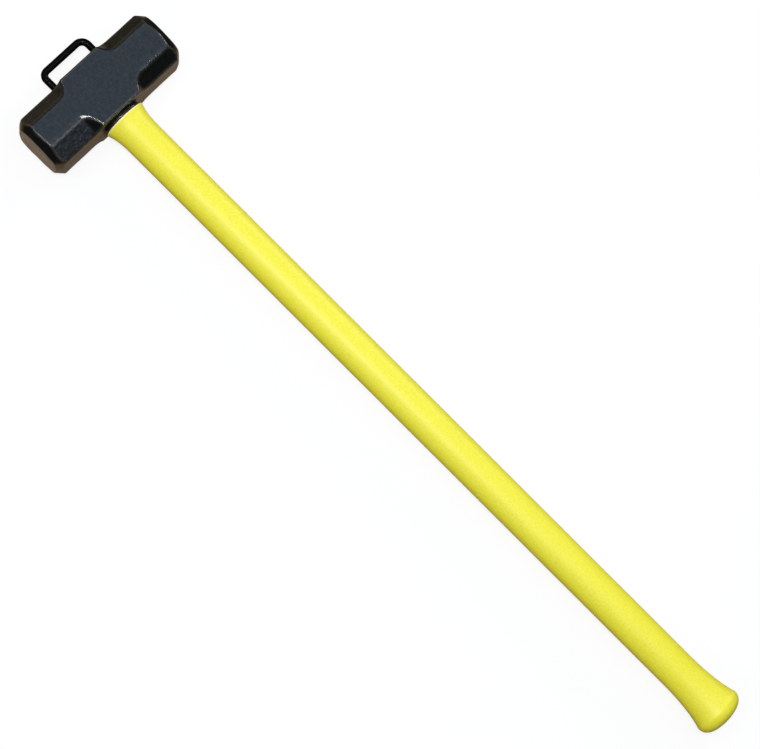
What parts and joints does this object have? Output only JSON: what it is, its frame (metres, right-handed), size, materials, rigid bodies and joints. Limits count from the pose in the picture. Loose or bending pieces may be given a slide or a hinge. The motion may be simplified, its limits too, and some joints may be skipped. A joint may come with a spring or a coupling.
{
  "type": "sledgehammer",
  "caption": "Long-handled double-faced sledgehammer: octagonal forged steel head with a bent-rod loop on its crown, on a smooth oval composite handle that flares at the neck and butt.",
  "frame": {"origin": "under the middle of the bounding box, on the plane that the head's broad side rests on", "axes": "+X along the handle towards the head and its crown loop, Y along the head from face to face, +Z out of the head's upper broad side"},
  "size_m": [0.9398, 0.172, 0.0618],
  "materials": {
    "head_enamel": "gloss black enamel over forged steel",
    "loop_enamel": "gloss black enamel over steel rod",
    "eye_epoxy": "cast epoxy, glossy amber brown",
    "core_fibreglass": "sawn fibreglass end, matt",
    "jacket_polymer": "semi-gloss yellow, fine moulded grain",
    "collar_seal": "glossy black"
  },
  "bodies": {
    "root": {"head": "head_enamel", "crown_loop": "loop_enamel", "loop_weld_left": "loop_enamel", "loop_weld_right": "loop_enamel", "eye_resin": "eye_epoxy", "handle_core": "core_fibreglass", "handle_jacket": "jacket_polymer", "neck_collar": "collar_seal"}
  },
  "joints": []
}
